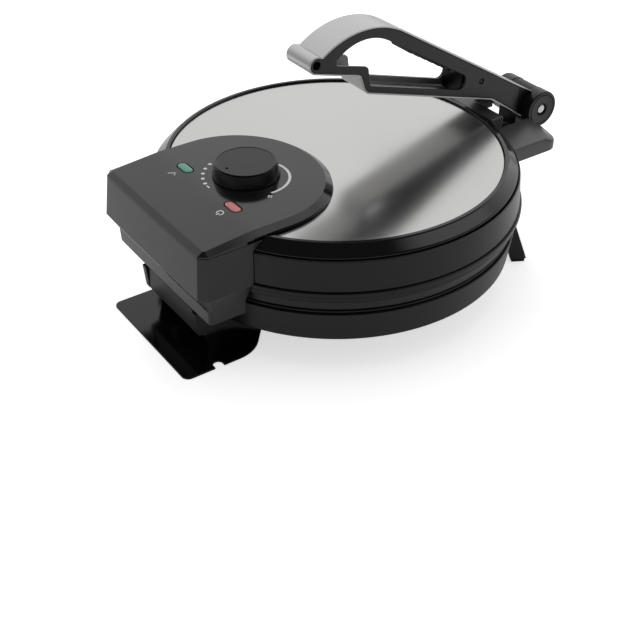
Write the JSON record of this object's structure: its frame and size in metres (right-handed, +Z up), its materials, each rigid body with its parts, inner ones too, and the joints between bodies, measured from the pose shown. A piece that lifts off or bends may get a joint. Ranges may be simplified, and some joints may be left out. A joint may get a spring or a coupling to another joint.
{
  "type": "electric roti maker",
  "caption": "Electric roti maker: round hinged cooking plates in black housings, a steel lid with a rear control box and knob, and a folding press handle at the front.",
  "frame": {"origin": "centre of the bounding box on the table plane", "axes": "+Z up, -Y the front with the press handle's hinge, +Y the rear with the control box and lid hinge"},
  "size_m": [0.299, 0.396, 0.2155],
  "materials": {
    "satin_black_plastic": "satin",
    "panel_plastic": "satin",
    "gloss_black_plastic": "gloss",
    "knob_plastic": "satin",
    "brushed_steel": "brushed round the centre",
    "handle_steel": "brushed",
    "coated_plate": "non-stick coated",
    "galvanised_steel": "plain",
    "black_steel": "satin",
    "heating_tube": "dull",
    "green_lens": "clear coloured",
    "red_lens": "clear coloured",
    "black_rubber": "matt",
    "white_ceramic": "plain",
    "zinc_screw": "plated"
  },
  "bodies": {
    "base": {"base_shell": "satin_black_plastic", "base_bottom_cover": "satin_black_plastic", "cover_screw_1": "zinc_screw", "cover_screw_2": "zinc_screw", "cover_screw_3": "zinc_screw", "lower_cooking_plate": "coated_plate", "lower_heating_element": "heating_tube", "lower_heat_shield": "galvanised_steel", "terminal_block": "white_ceramic", "cord_inlet_gland": "black_rubber", "front_foot_left": "satin_black_plastic", "front_foot_right": "satin_black_plastic", "foot_pad_left": "black_rubber", "foot_pad_right": "black_rubber", "stand_plate": "black_steel", "hinge_tower": "satin_black_plastic", "lid_hinge_pin": "galvanised_steel"},
    "lid": {"lid_skirt": "satin_black_plastic", "lid_rim": "gloss_black_plastic", "lid_steel_cover": "brushed_steel", "upper_cooking_plate": "coated_plate", "upper_heating_element": "heating_tube", "upper_heat_shield": "galvanised_steel", "control_housing": "satin_black_plastic", "control_panel": "panel_plastic", "ready_lens": "green_lens", "power_lens": "red_lens", "ready_lamp": "white_ceramic", "power_lamp": "white_ceramic", "thermostat": "galvanised_steel", "lid_hinge_bracket": "galvanised_steel", "front_tab": "satin_black_plastic", "handle_bracket": "satin_black_plastic", "handle_pivot_bolt": "zinc_screw"},
    "knob": {"thermostat_knob": "knob_plastic", "thermostat_shaft": "galvanised_steel"},
    "press_handle": {"handle_strap": "handle_steel", "handle_cheek_left": "satin_black_plastic", "handle_cheek_right": "satin_black_plastic", "nose_spacer_tube": "satin_black_plastic", "handle_tie_screw": "black_steel", "finger_grip": "satin_black_plastic", "handle_core": "satin_black_plastic", "barrel_hub_left": "satin_black_plastic", "barrel_hub_right": "satin_black_plastic"}
  },
  "joints": [
    {"name": "lid_hinge", "type": "hinge", "parent": "base", "child": "lid", "pos_m": [0, 0.1715, 0.057], "axis": [-1, 0, 0], "range_deg": [0, 95]},
    {"name": "press_handle_hinge", "type": "hinge", "parent": "lid", "child": "press_handle", "pos_m": [0, -0.182, 0.102], "axis": [1, 0, 0], "range_deg": [0, 150]},
    {"name": "thermostat_turn", "type": "hinge", "parent": "lid", "child": "knob", "pos_m": [0, 0.1023, 0.118], "axis": [0, 0, -1], "range_deg": [0, 270]}
  ]
}
